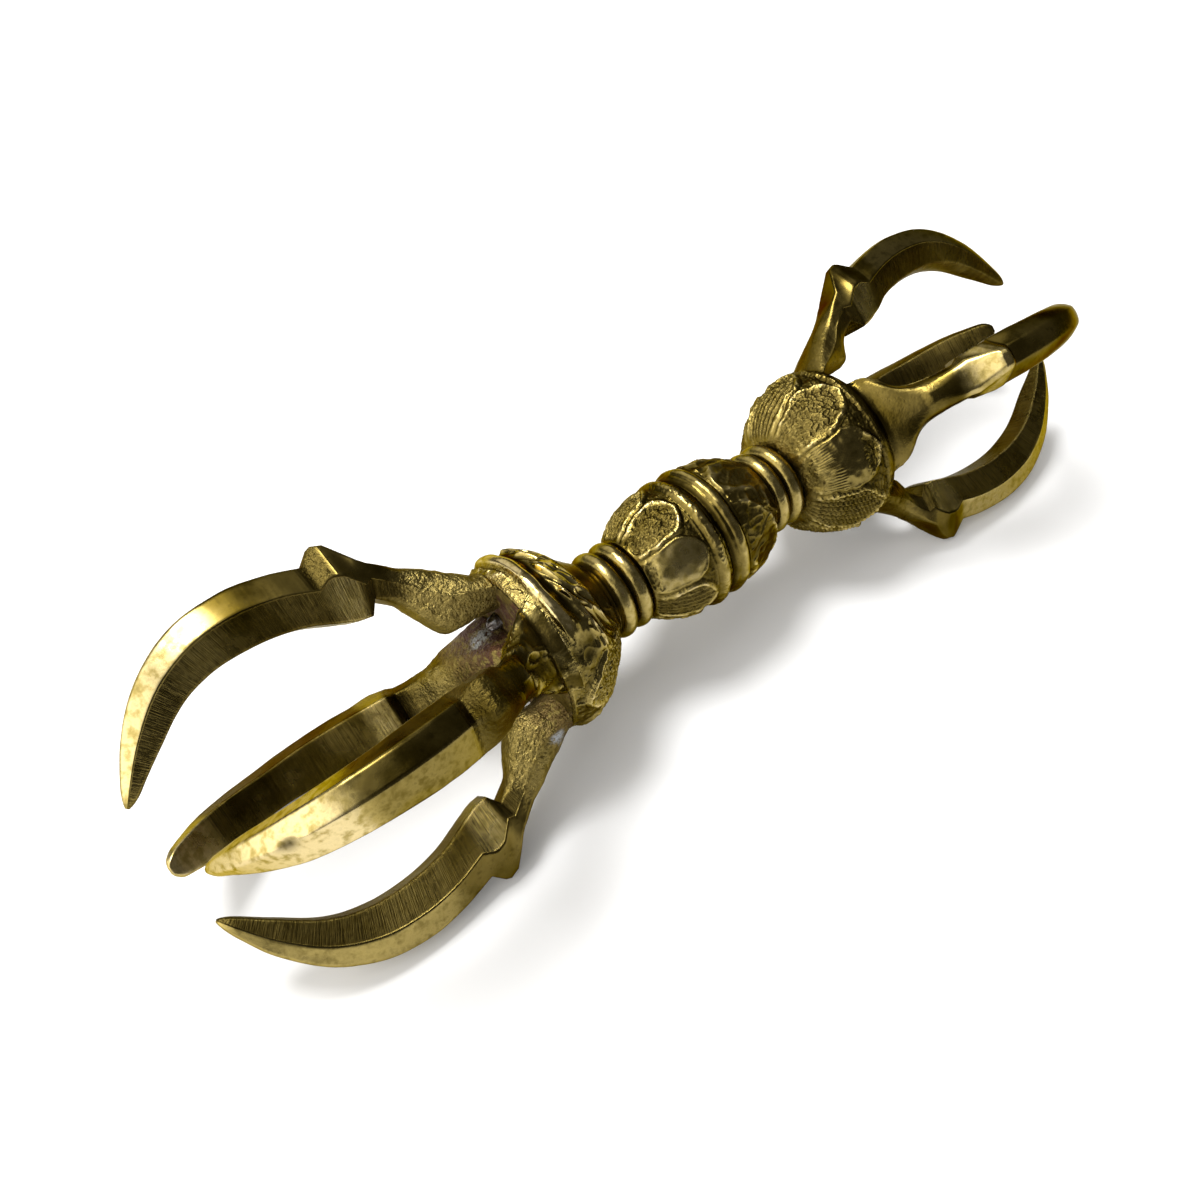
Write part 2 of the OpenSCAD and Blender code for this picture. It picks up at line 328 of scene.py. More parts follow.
def head_radius(x):
    """A cup from the neck to the rim, then a rounded lip in to the crown."""
    power = np.where(x < 0, NEAR_FULLNESS, FAR_FULLNESS)
    x = np.abs(x)
    up = np.clip((x - HEAD_X) / (RIM_X - HEAD_X), 0, 1)
    cup = NECK_R + (RIM_R - NECK_R) * np.sin(HALF_PI * up) ** power
    over = np.clip((x - RIM_X) / (CROWN_X - RIM_X), 0, 1)
    return np.where(x <= RIM_X, cup, CROWN_R + (RIM_R - CROWN_R) * np.cos(HALF_PI * over))


# Claws: half width of a sharp barb's ridge, and a place beyond every tip, in millimetres
SHARP_RIDGE = 0.6
NOWHERE = 99.0


@dataclass
class Claw:
    """How one claw was set by hand and finished, in degrees and millimetres."""
    near: bool
    angle: float
    # Turn round the axis, tilt outwards, lean sideways, reach along the axis and roll of the blade
    turn: float
    tilt: float = 0.0
    lean: float = 0.0
    reach: float = 0.0
    roll: float = 0.0
    # Shift of the blade's start along the claw
    shift: float = 0.0
    # Foot: radius and half width of its inner end, how rough it was cast and how far it was rounded off
    foot_end: float = 10.5
    foot_half: float = 3.5
    cast: float = 0.4
    soft: float = 0.0
    # Spread of a foot that laps over the rim of its head, and whether the metal ran down it in streaks
    flare: float = 0.0
    streaked: bool = False
    # Flux on the foot, and the place and size of a run of solder over it
    stain: float = 0.0
    run_place: tuple = None
    run_size: float = 0.0
    # Barb: half width of its ridge, from where along the claw it was left rough, and whether it is polished
    # with a painted highlight on it
    ridge_half: float = SHARP_RIDGE
    rough_from: float = NOWHERE
    barb_polish_and_highlight: bool = False
    # Blade: extra width of the bevel on its lower side, how far it was rounded, its tip and its edge
    fuller: float = 0.0
    rounded: float = 0.0
    broad_tip: bool = False
    dented: bool = False
    # Wear: how bright the tip is rubbed, from where along the claw, and faces that differ; a shaded back and
    # a shaded tip get painted shade
    polish: float = 0.25
    polish_from: float = 30.0
    pale_bevel: bool = False
    pale_tip: bool = False
    shaded_back: bool = False
    shaded_tip: bool = False


# The lower back foot at each end is a narrow tongue that reaches over the crown's middle
TONGUE = {"foot_end": -3.0, "foot_half": 2.6}
CLAWS = {
    "near_upper_back_claw": Claw(
        True, 45, turn=1, tilt=3, lean=4, foot_end=7.5, cast=1.0, rough_from=18.2,
        polish=0.82, polish_from=33, shaded_back=True),
    "near_upper_front_claw": Claw(
        True, 135, turn=1, tilt=4, lean=-1, reach=-4, roll=-20, cast=0.2, soft=0.9, flare=0.2,
        streaked=True, ridge_half=2.6, rough_from=15.0, fuller=0.8, dented=True,
        polish=0.85, polish_from=35, pale_bevel=True),
    "near_lower_back_claw": Claw(
        True, 315, turn=1, reach=1, **TONGUE, cast=0.8, stain=1.0, run_place=(-38.4, 4.8, AXIS + 1.5),
        run_size=2.0, broad_tip=True, polish=1.0, polish_from=47, pale_tip=True),
    "near_lower_front_claw": Claw(
        True, 225, turn=1, tilt=-1.2, reach=-0.6, roll=-8, foot_end=7.5, cast=1.0, stain=0.5,
        run_place=(-38.0, -12.5, AXIS - 6.0), run_size=1.2, polish=0.45, polish_from=24, shaded_tip=True),
    "far_upper_back_claw": Claw(
        False, 45, turn=-1, tilt=-0.6, lean=2, reach=-1, cast=0.25, soft=0.5, rounded=0.4,
        polish=0.45, polish_from=22),
    "far_upper_front_claw": Claw(
        False, 135, turn=-1.5, tilt=1.5, lean=2, reach=-5.5, shift=4.8, cast=0.1, soft=0.7, flare=0.7,
        ridge_half=1.5, barb_polish_and_highlight=True, rounded=0.6, polish=0.3, polish_from=34),
    "far_lower_back_claw": Claw(False, 315, turn=1, reach=2.6, **TONGUE, rounded=0.4, broad_tip=True),
    "far_lower_front_claw": Claw(
        False, 225, turn=1.5, tilt=-0.4, lean=-2, reach=-0.6, shift=-5, soft=0.5, polish=0.6, polish_from=18),
}

# Stretches along a claw from its seat, in millimetres: two places for a rise or a fall, four for both
FOOT_EDGE, BLUNT_EDGE = (9.0, 14.5), (19.0, 23.0)
FOOT_SOFT, BLADE_ROUND = (10.0, 15.0), (21.0, 25.0)
FULL_BEVEL = (16.0, 22.0, 44.0, 53.0)
BARB_END = (21.4, 22.4)
BRUSHED = (15.9, 16.4, 19.5, 22.0)
BARB_POLISH_AND_HIGHLIGHT = (13.0, 14.5, 18.6, 19.4)
SHADED_BACK = (20.5, 21.5, 32.0, 37.0)
PALE_BEVEL, SHADED_TIP, PALE_TIP = (19.0, 22.0), (30.0, 46.0), (47.5, 49.5)
POLISH_FADE, ROUGH_FADE = 5.0, 0.6
# Where the foot, the flux and the painted shadow by the crown end, and over what length they fade
FOOT_TOP, FOOT_FADE = 13.5, 3.0
FLUX_TOP, FLUX_FADE = 7.0, 4.0
SHADOW_TOP = 4.0
# Where waves and lumps start, and over what length they grow
WAVE_START, WAVE_GROWTH = 1.0, 4.0
LUMP_START, LUMP_GROWTH = -0.5, 2.0
# Places round a section, 0 to 8, one for each corner: the inner faces, the back and one bevel of the back
SIDES = 8
INNER_TO, INNER_FROM = 2.02, 6.98
BACK_FROM, BACK_TO, BEVEL_TO = 2.9, 6.1, 4.02
FOOT_BACK = (2.5, 3.4, 5.6, 6.5)
# Points on each side of a section, and the steps between the rungs of foot, barb and blade
FILL, FINE_FILL = 9, 22
FOOT_STEPS, BARB_STEPS, BLADE_STEPS = 8, 4, 10
# Rounding of a section's edges, more on the foot and on a blunt barb, in millimetres and as a share of a side
EDGE, FOOT_EDGE_MORE, BLUNT_EDGE_MORE, EDGE_MOST = 0.35, 1.6, 0.5, 0.3
# Every tip closes over its last stretch
TIP_ROUND, TIP_CLOSE = 1.5, 0.9
# Waves over a claw and lumps on its foot: scale, height and seed; streaks: three scales, height and seed
WAVES = ((0.16, 0.10, 0), (0.6, 0.03, 0))
LUMPS = ((0.3, 0.25, 9), (0.9, 0.12, 0), (1.8, 0.08, 0))
LUMP_LEAST, LUMP_BY_CAST = 0.3, 0.7
STREAKS = (((0.10, 0.34, 0.34), 0.5, 77), ((0.16, 0.7, 0.7), 0.4, 79))
STREAK_LUMP, STREAK_POWER = 0.6, 6
STREAK_GAPS, STREAK_TOPS = (0.2, 0.45), (0.25, 0.5)
# Ragged ends of the polish, of a pale tip and of a run of solder: scale, height and seed
RAGGED_POLISH, RAGGED_TIP, RAGGED_RUN = ((0.3, 1.5, 3),), ((0.5, 0.8, 0),), ((0.8, 0.7, 0),)
RUN_FADE = (-0.6, 0.3)
# Shares: polish on faces other than the back, casting skin on a rough barb, file marks lost on a pale tip
INNER_POLISH, BARB_CAST, TIP_UNFILED = 0.3, 0.8, 0.8
# Length along a claw on its map, per millimetre
MAP_SCALE = 0.1
# How dark: painted shadow on a foot by the crown, painted shade on inner faces, a rough barb, painted shade
# on a shaded tip and a shaded back, and between streaks
SHADE_FOOT, SHADE_INNER, SHADE_BARB = 0.3, 0.12, 0.4
SHADE_TIP, SHADE_BACK, SHADE_GAPS = 0.5, 0.55, 0.3
# How bright: all over, polished, a pale tip, brushed, a cast foot, streaks, a pale bevel and a polished barb
# with a painted highlight
WEAR_ALL, WEAR_POLISH, WEAR_PALE, WEAR_BRUSHED = 0.03, 0.9, 0.5, 0.5
WEAR_CAST, WEAR_STREAK, WEAR_BEVEL, WEAR_AND_HIGHLIGHT_BARB = 0.25, 0.4, 0.22, 0.6
# Dent in an edge: places along and round, half sizes both ways, and depth
DENT_AT, DENT_ROUND, DENT_LONG, DENT_WIDE, DENT_DEPTH = 44.4, 4.0, 0.9, 0.25, 0.6
# A foot stays in a cone that opens from the crown, or laps over the rim
LAP, SINK, FLARE_FADE = 2.0, 0.3, 3.5
CONE_GAP, CONE_SLOPE, CONE_TOP, STREAK_RISE = 0.2, 0.9, 6.0, 1.1
LAP_THICK, LAP_GROWTH, LAP_RISE = 0.02, 0.14, 1.2
# How tightly its surface bends into that cone, per millimetre
BLEND = 2.0


# Claws: the same ladder of rungs as the solids, with finer steps and rounded edges
def spline(p, q, r, s, t):
    return q + 0.5 * t * (r - p + t * (2 * p - 5 * q + 4 * r - s + t * (3 * (q - r) + s - p)))


def smooth(rungs, steps):
    g = np.array(rungs, float)
    n = len(g)
    out = [spline(g[max(i - 1, 0)], g[i], g[i + 1], g[min(i + 2, n - 1)], k / steps)
           for i in range(n - 1) for k in range(steps)]
    return out + [g[-1]]


def straight(rungs, steps):
    g = np.array(rungs, float)
    return [g[i] + (g[i + 1] - g[i]) * k / steps for i in range(len(g) - 1) for k in range(steps)] + [g[-1]]


def claw_rungs(c):
    """Rungs from foot to tip: inner x and r, outer x and r, then half widths inside, at the fold, outside."""
    crown, back, end, half = CROWN_R, BACK_R, c.foot_end, c.foot_half
    shank, inner, side, outer = SHANK_HALF, INNER_HALF, SIDE_HALF, BACK_HALF
    blunt, broad = c.ridge_half, c.broad_tip
    foot = [[-1.0, end, -1.0, crown - 0.2, half, FOOT_HALF, 5.2],
            [0, end, 0, crown, half, FOOT_HALF, 0.75 * FOOT_HALF],
            [3.2, end + 0.4, 2, crown + 1, half, 0.92 * FOOT_HALF, 4.6],
            [7.4, max(crown - 6.3, end + 0.3), 4.8, crown + 2.9, shank, shank + 1.9, shank + 0.7],
            [10, max(crown - 2.7, end + 0.9), 7.8, crown + 4.8, shank - 0.2, shank + 0.6, shank - 0.3],
            [12, crown + 0.9, 10.6, crown + 6.5, shank - 0.6, shank, shank - 0.6],
            [14.9, crown + 3.4, 13.6, crown + 8.5, shank - 0.6, shank, shank - 0.6]]
    barb = [[BLADE_START, crown + 1.4, 14.6, crown + 9.4, inner, side - 0.3, shank - 0.4],
            [17.8, crown + 1.6, 17.4, BARB_R + 0.75 * BARB_RISE, inner, side, blunt + 0.1],
            [18.9, crown + 1.9, 18.9, BARB_R + BARB_RISE, inner, side, blunt],
            [19.6, crown + 2.2, 19.7, BARB_R + 0.85 * BARB_RISE, inner, side, blunt],
            [21.2, crown + 2.8, 21.4, BARB_R, inner, side, outer]]
    blade = [[21.4, crown + 2.9, 21.6, BARB_R + 0.05, inner, side, outer],
             [25.6, crown + 4.5, 26.6, back - 0.5, inner, side, outer],
             [31, back - 8.4, 32.8, back, inner, side - 0.2, outer],
             [37, back - 8.7, 39.6, back - 1.3, inner - 0.3, side - 0.6, outer - 0.1],
             [42.6, back - 10.6, 46, back - 5.2, inner - 0.6 + 0.4 * broad, side - 1.1 + 0.4 * broad,
              outer - 0.3],
             [48, back - 14.6, 51, back - 11.2, inner - 1 + 0.6 * broad, side - 1.9 + 0.8 * broad,
              outer - 0.7 + 0.5 * broad],
             [53.6, back - 19.5, REACH, back - 18.5, 0.6 + 1.2 * broad, 1.0 + 1.0 * broad, 0.6 + 1.1 * broad]]
    rungs = np.array(smooth(foot, FOOT_STEPS) + straight(barb, BARB_STEPS) + smooth(blade, BLADE_STEPS))
    place = 0.5 * (rungs[:, 0] + rungs[:, 2])
    for k in (0, 2):
        x = rungs[:, k]
        rungs[:, k] = x + c.shift * np.minimum(x / BLADE_START, (REACH - x) / (REACH - BLADE_START))
    return rungs, place


def cut_share(a, b, edge):
    return min(edge / (np.linalg.norm(b - a) + TINY), EDGE_MOST)


def rounded_outline(corners, edge, fill):
    """Points along an outline with its corners cut and rounded, and the place of each round it."""
    ring, tags = [], []
    for i in range(SIDES):
        a, b, after = (corners[(i + k) % SIDES] for k in range(3))
        cut, next_cut = cut_share(a, b, edge), cut_share(b, after, edge)
        for k in range(fill + 1):
            s = cut + (1 - 2 * cut) * k / fill
            ring.append(a + (b - a) * s)
            tags.append(i + s)
        ring.append(0.5 * b + 0.25 * (b + (a - b) * cut) + 0.25 * (b + (after - b) * next_cut))
        tags.append(i + 1.0)
    return np.array(ring), np.array(tags)


def section(g, at, c):
    """Eight-sided section of a rung as points (x, r, w), with the place of each round it."""
    inner, side, outer = g[4:]
    depth = math.hypot(g[2] - g[0], g[3] - g[1])
    full = c.fuller * between(at, *FULL_BEVEL)
    low, high = FOLD
    lowered = 0.15 * full
    shares = ((0, -inner), (0, inner), (low - lowered, side + full), (high - lowered, side + full),
              (1, outer), (1, -outer), (high, -side), (low, -side))
    corners = np.array([((share - 0.5) * depth, w) for share, w in shares])
    blunt = c.ridge_half > SHARP_RIDGE
    edge = EDGE + FOOT_EDGE_MORE * drop(at, *FOOT_EDGE) + BLUNT_EDGE_MORE * blunt * drop(at, *BLUNT_EDGE)
    ring, tags = rounded_outline(corners, edge, FINE_FILL if c.streaked else FILL)
    # Towards an ellipse where it is softened, then rolled
    soft = max(c.soft * drop(at, *FOOT_SOFT), c.rounded * step(at, *BLADE_ROUND))
    from_middle = np.linalg.norm(ring / np.array([0.5 * depth, side]), axis=1)[:, None]
    ring += soft * (ring / (from_middle + TINY) - ring)
    rolled = math.radians(c.roll * min(max(g[0] / BLADE_START, 0), 1))
    d, w = turned(ring[:, 0], ring[:, 1], rolled)
    share = 0.5 + d / depth
    return np.stack([g[0] + (g[2] - g[0]) * share, g[1] + (g[3] - g[1]) * share, w], 1), tags


def claw_rings(c):
    """Rings of points from foot to tip, with the place of each point round its ring and along the claw."""
    rungs, place = claw_rungs(c)
    rings, tags = [], []
    for g, at in zip(rungs, place):
        ring, tag = section(g, at, c)
        into_tip = min(max((at - place[-1]) / TIP_ROUND + 1, 0), 1)
        middle = ring.mean(0)
        rings.append(middle + (ring - middle) * math.sqrt(1 - TIP_CLOSE * into_tip ** 2))
        tags.append(tag)
    return np.array(rings), np.concatenate(tags), np.repeat(place, len(tags[0]))


def streaks(c, p):
    """Streaks along a foot where the metal ran when it was cast."""
    if not c.streaked:
        return np.zeros(len(p))
    return sum(height * crests(p * np.array(scales), 1.0, seed, STREAK_POWER)
               for scales, height, seed in STREAKS)


def dent(c, tag, s):
    if not c.dented:
        return np.zeros(len(s))
    return np.exp(-((s - DENT_AT) / DENT_LONG) ** 2 - ((tag - DENT_ROUND) / DENT_WIDE) ** 2)


def claw_shape(c, rings, tag, s, foot, streak):
    """Points of a claw in its own plane, with its foot curved and spread, its waves, lumps and dent."""
    p = rings.reshape(-1, 3).copy()
    wave = layers(p, c.angle, WAVES)
    lump = layers(p, c.angle, LUMPS) * (LUMP_LEAST + LUMP_BY_CAST * c.cast) + STREAK_LUMP * streak
    p[:, 1] -= foot * between(tag, *FOOT_BACK) * p[:, 2] ** 2 / (2 * CROWN_R)
    above = np.maximum(p[:, 0] + c.reach, 0)
    p[:, 2] *= 1 + c.flare * np.exp(-(above / FLARE_FADE) ** 2)
    out = p - np.repeat(rings.mean(1), rings.shape[1], axis=0)
    out /= np.linalg.norm(out, axis=1)[:, None] + TINY
    grow = wave * np.clip((s - WAVE_START) / WAVE_GROWTH, 0, 1)
    grow += lump * foot * np.clip((s - LUMP_START) / LUMP_GROWTH, 0, 1)
    return p + out * (grow - DENT_DEPTH * dent(c, tag, s))[:, None]


def set_claw(c, p):
    """From the claw's own plane to the part's frame, as it was set by hand."""
    x, y, z = p[:, 0], p[:, 1] - CROWN_R, p[:, 2]
    x, y = turned(x, y, math.radians(c.tilt))
    x, z = turned(x, z, math.radians(c.lean))
    x, y = x + SEAT_X + c.reach, y + CROWN_R
    y, z = turned(y, z, math.radians(c.angle + c.turn))
    return np.stack([-x if c.near else x, y, z], 1) + ON_AXIS


def seat_foot(c, p, streak):
    """Keeps a foot inside its cone on the crown or close to the rim, and the claw in the part's box."""
    seat = SEAT_X - SINK - (LAP if c.flare else 0)
    out = np.abs(p[:, 0])
    above = np.maximum(out - SEAT_X, 0)
    off_axis = np.hypot(p[:, 1], p[:, 2] - AXIS)
    below = np.maximum(out, seat)
    lap = head_radius(-below if c.near else below)
    lap += LAP_THICK + LAP_GROWTH * step(below, seat, seat + LAP_RISE)
    limit = np.where(above > 0, CROWN_R + CONE_GAP + CONE_SLOPE * above, lap)
    limit += STREAK_RISE * streak * step(above, 0.0, 1.0)
    soft_limit = -np.logaddexp(-BLEND * off_axis, -BLEND * limit) / BLEND
    pull = np.minimum(1, np.where(above > 0, soft_limit, limit) / off_axis)
    pull = np.where(above < CONE_TOP, pull, 1)
    p[:, 1] *= pull
    p[:, 2] = AXIS + (p[:, 2] - AXIS) * pull
    p[:, 0] = np.minimum(p[:, 0], -seat) if c.near else np.maximum(p[:, 0], seat)
    return np.clip(p, *(np.array(corner) / MM for corner in start_bounds))


def claw_finish(c, p, tag, s, foot, streak):
    """Where a claw is cast, dark, bright, filed and stained, 0 to about 1 at each point; its dark holds
    painted shade and its bright a painted highlight.
    """
    inner = (tag < INNER_TO) | (tag > INNER_FROM)
    back = (tag > BACK_FROM) & (tag < BACK_TO)
    bevel = (tag > BACK_FROM) & (tag < BEVEL_TO)
    blade = 1 - foot
    rough_barb = back * between(s, c.rough_from, c.rough_from + ROUGH_FADE, *BARB_END)
    brushed = inner * between(s, *BRUSHED)
    polish = step(s + layers(p, c.angle, RAGGED_POLISH), c.polish_from, c.polish_from + POLISH_FADE)
    polish *= np.where(back, 1.0, INNER_POLISH) * c.polish
    pale = c.pale_tip * inner * step(s + layers(p, c.angle, RAGGED_TIP), *PALE_TIP)
    flux = c.stain * foot * np.clip((FLUX_TOP - s) / FLUX_FADE, 0, 1)
    # Painted shadow on a foot by the crown
    sunk_and_shade = SHADE_FOOT * foot * np.clip((SHADOW_TOP - s) / SHADOW_TOP, 0, 1)
    # Painted shade on the inner faces of a blade, where they are not brushed
    sunk_and_shade += SHADE_INNER * inner * blade * (1 - brushed)
    sunk_and_shade += SHADE_BARB * rough_barb + dent(c, tag, s)
    # Painted shade on a shaded tip and on a shaded back
    sunk_and_shade += SHADE_TIP * c.shaded_tip * inner * step(s, *SHADED_TIP)
    sunk_and_shade += SHADE_BACK * c.shaded_back * back * between(s, *SHADED_BACK)
    sunk_and_shade += SHADE_GAPS * c.streaked * foot * drop(streak, *STREAK_GAPS)
    worn = WEAR_ALL + WEAR_POLISH * polish + WEAR_PALE * pale + WEAR_BRUSHED * brushed
    worn += WEAR_CAST * foot * c.cast + WEAR_STREAK * foot * step(streak, *STREAK_TOPS)
    worn += WEAR_BEVEL * c.pale_bevel * bevel * step(s, *PALE_BEVEL)
    # A polished facet on the barb, partly real polish and partly a painted highlight
    worn += WEAR_AND_HIGHLIGHT_BARB * c.barb_polish_and_highlight * back * between(s, *BARB_POLISH_AND_HIGHLIGHT)
    return {"cast": foot * c.cast + BARB_CAST * rough_barb, "sunk_and_shade": sunk_and_shade, "worn": worn,
            "filed": inner * blade * (1 - TIP_UNFILED * pale), "stain": flux}


def solder_run(c, p):
    """Where solder has run over a foot, with a ragged edge."""
    if c.run_place is None:
        return np.zeros(len(p))
    away = np.linalg.norm(p - np.array(c.run_place), axis=1) + layers(p, c.angle, RAGGED_RUN)
    return drop(away - c.run_size, *RUN_FADE)


def claw(name, c):
    rings, tag, s = claw_rings(c)
    p = rings.reshape(-1, 3)
    foot = np.clip((FOOT_TOP - s) / FOOT_FADE, 0, 1)
    streak = streaks(c, p)
    finish = claw_finish(c, p, tag, s, foot, streak)
    placed = seat_foot(c, set_claw(c, claw_shape(c, rings, tag, s, foot, streak)), streak)
    finish["silver"] = solder_run(c, placed)
    faces = tube_faces(rings.shape[0], rings.shape[1], c.near)
    uv = np.stack([s * MAP_SCALE, tag], 1)
    obj = make_piece(name, placed, faces, CLAW_MAT, finish, uv)
    obj.modifiers.new("flats", "WEIGHTED_NORMAL").keep_sharp = True


for claw_name, setting in CLAWS.items():
    claw(claw_name, setting)


# Turned pieces with carving: a grid round the axis whose radius is raised and sunk
FULLY_SUNK = 0.6


def carved(name, xs, turns, radius, relief, mat):
    x, a = np.meshgrid(xs, angles(turns), indexing="ij")
    r = radius(x)
    lift, worn, cast = relief(x, a, r)
    p = around(x, a, r + lift) + ON_AXIS
    finish = {"sunk_and_shade": -lift / FULLY_SUNK, "worn": worn, "cast": cast}
    finish = {k: np.clip(v, 0, 1).ravel() for k, v in finish.items()}
    make_piece(name, p, tube_faces(len(xs), turns, xs[-1] > xs[0]), mat, finish)


# Petals: how many, where one ends as a share of its row, its half width and its steepest side
PETALS = 8
PETAL_END, PETAL_HALF, STEEPEST = 0.98, 0.97, 3.0
# Ridges and grooves are each a height, a place and a width, in millimetres
PETAL_EDGE, PETAL_LINE = (0.42, 0.6, 0.42), (0.14, 1.5, 0.22)
# Depths inside a petal where its middle, veins and smooth face set in, and outside it where the ground does
MIDDLE_FROM, VEINS_FROM, SMOOTH_FROM, GROUND_FROM = (1.0, 1.6), (0.7, 1.3), (-0.2, 0.5), (-0.1, 0.5)
# How an outline wanders: scale, height in radians and seed; then the scales of a petal's grain
WANDER = ((0.22, 0.07, 0), (0.7, 0.02, 2))
GRAINY, COARSE, ROWS, ROW_SQUEEZE = 2.0, 0.75, 2.8, 0.6
VEINS, FILE_LINES = 64, 150
# Casting skin left on carving, and more of it inside petals
CARVED_CAST, PETAL_CAST = 0.35, 0.35
SMOOTH_PETAL = 1
VEINED_PETALS = (2, 3, PETALS - 1)


def petals(a, along, r, phase, length, broad):
    """Depth inside a pointed-arch petal in millimetres, and the petal's number; along runs 0 to 1."""
    turn = (a - phase) * PETALS / FULL_TURN
    number = np.round(turn)
    across = 2 * (turn - number)
    rise = np.clip((along - broad) / (PETAL_END - broad), 0, 1)
    half = PETAL_HALF * (1 - rise ** 1.8) ** 0.75
    width = r * math.pi / PETALS
    slope = np.abs(np.gradient(half, axis=0)) / (np.abs(np.gradient(along, axis=0)) + TINY)
    slant = np.minimum(slope * width / length, STEEPEST)
    return (half - np.abs(across)) * width / np.sqrt(1 + slant ** 2), number % PETALS


def lines_along(a, sway, count):
    """Fine parallel lines along the axis, about -1 to 1."""
    return 1 - 2 * np.abs(np.sin(0.5 * a * count + 1.6 * sway)) ** 0.7


def lotus(x, a, r, along, phase, length, broad, seed):
    """Carved petals: most are grained, some are veined, and one is left for the caller to smooth."""
    wander = layers(around(x, a, r), seed, WANDER).reshape(x.shape)
    depth, number = petals(a + wander, along, r, phase, length, broad)
    grainy = field(x, a, r, GRAINY, seed + 5)
    coarse = field(x, a, r, COARSE, seed + 8)
    rows = field(x * ROW_SQUEEZE, a, r, ROWS, seed + 11)
    inside = step(depth, *MIDDLE_FROM)
    veined = np.isin(number, VEINED_PETALS) * step(depth, *VEINS_FROM)
    ground = step(-depth, *GROUND_FROM)
    ragged = 0.75 + 0.5 * coarse + 0.35 * grainy
    lift = (ridge(depth, *PETAL_EDGE) + ridge(depth, *PETAL_LINE)) * ragged
    lift += ground * (-0.36 + 0.16 * coarse + 0.14 * grainy)
    lift += inside * (1 - veined) * (-0.16 + 0.26 * grainy + 0.12 * coarse + 0.10 * rows)
    lift += veined * (-0.08 + 0.24 * lines_along(a, 0.25 * coarse, VEINS) + 0.03 * grainy)
    smooth_one = (number == SMOOTH_PETAL) * step(depth, *SMOOTH_FROM)
    return lift, inside, smooth_one, grainy, coarse


# Hub: two buds and a girdle of two rings with a channel between them
HUB_R, HUB_END_R, HUB_POWER = 11.1, 7.0, 3.2
GIRDLE_X, RING_X, RING_R, RING_HALF = 3.6, 2.1, 10.4, 1.2
HUB_CHANNEL, GIRDLE_GROOVE, RING_WEAR = (-0.75, 0.0, 0.55), (-0.45, GIRDLE_X, 0.3), (0.35, RING_X, 0.6)
HUB_PHASE, HUB_PETAL, HUB_BROAD = math.radians(97), 10.0, 0.62
HUB_HIGHEST = 0.35
# The worn petal as shares of its row, then where leaves, carving, girdle and the fade at the ends lie
HUB_FLAT_FROM, HUB_FLAT_TO, HUB_FLAT_DEPTH = (0.0, 0.2), (0.90, 0.97), 0.12
LEAVES_FROM, CARVED_FROM, GIRDLE_TO, HUB_FADE = (3.4, 4.2), (3.4, 4.0), (3.3, 3.7), (0.0, 0.8)
# Leaves: scales of their noise along and round, their sharpness, share of fine ones, height and ground
LEAF_ALONG, LEAF_ROUND, LEAF_POWER, LEAF_FINE, LEAF_HEIGHT, LEAF_GROUND = 0.12, 0.24, 5, 0.35, 0.55, 0.32
# Heights over which raised places are rubbed, and wear all over, on them and on the worn petal
HUB_RAISED, HUB_WEAR, HUB_RAISED_WEAR, HUB_FLAT_WEAR = (0.05, 0.38), 0.12, 0.62, 0.46


def hub_radius(x):
    x = np.abs(x)
    bud = HUB_END_R + (HUB_R - HUB_END_R) * (1 - (x / COLLAR_X) ** HUB_POWER)
    bead = RING_HALF ** 2 - (x - RING_X) ** 2
    return np.maximum(bud, np.where(bead > 0, RING_R + np.sqrt(np.maximum(bead, 0)), 0))


def hub_leaves(x, a, r):
    """Pointed leaves that lie along the axis."""
    p = around(LEAF_ALONG * x, a, LEAF_ROUND * r)
    leaves = crests(p, 1.0, 15, LEAF_POWER) + LEAF_FINE * crests(p, 2.4, 17, LEAF_POWER)
    return LEAF_HEIGHT * leaves.reshape(x.shape) - LEAF_GROUND


def hub_relief(x, a, r):
    """Petals on the near half, mostly leaves on the far half and worn rings between them."""
    near, out = x < TINY, np.abs(x)
    along = np.clip((COLLAR_X - out) / (COLLAR_X - GIRDLE_X), 0, 1)
    lift, inside, flat, grainy, coarse = lotus(x, a, r, along, HUB_PHASE, HUB_PETAL, HUB_BROAD, 3.0)
    # One near petal at the front is worn flat
    flat = flat * near * step(along, *HUB_FLAT_FROM) * drop(along + 0.05 * coarse, *HUB_FLAT_TO)
    lift = lift * (1 - flat) + flat * (-HUB_FLAT_DEPTH + 0.05 * coarse)
    far = step(x, *LEAVES_FROM)
    lift = lift * (1 - 0.75 * far) + far * hub_leaves(x, a, r)
    lift += 0.07 * field(x, a, r, 0.6, 14)
    edge = step(COLLAR_X - out, *HUB_FADE) * step(out, *CARVED_FROM)
    girdle = drop(out, *GIRDLE_TO)
    uneven = 0.14 * field(x, a, r, 0.35, 21) + 0.09 * grainy * near + 0.06 * coarse
    lift = lift * edge + girdle * (uneven + ridge(out, *HUB_CHANNEL) + ridge(out, *GIRDLE_GROOVE))
    worn = HUB_WEAR + HUB_RAISED_WEAR * step(lift, *HUB_RAISED) * (1 - flat) + HUB_FLAT_WEAR * flat
    worn += girdle * ridge(out, *RING_WEAR) * (1 + coarse)
    cast = (1 - flat) * edge * (CARVED_CAST + PETAL_CAST * inside) * (1 - 0.7 * far)
    return np.minimum(lift, HUB_HIGHEST), worn, cast


# Heads: petals on both, and on top of the near one a fold like cloth
LAPPED_ANGLE, LAPPED_HALF, LAPPED_X = math.radians(135), (0.50, 0.72), (RIM_X + 0.2, RIM_X + 1.2)
FAR_PHASE, FAR_ROW, FAR_PETAL, FAR_BROAD = math.radians(99), 12.6, 13.0, 0.50
RIM_BEAD, RIM_GROOVE = (0.22, RIM_X + 1.4, 0.6), (-0.12, RIM_X + 0.5, 0.35)
FAR_HIGHEST = 0.5
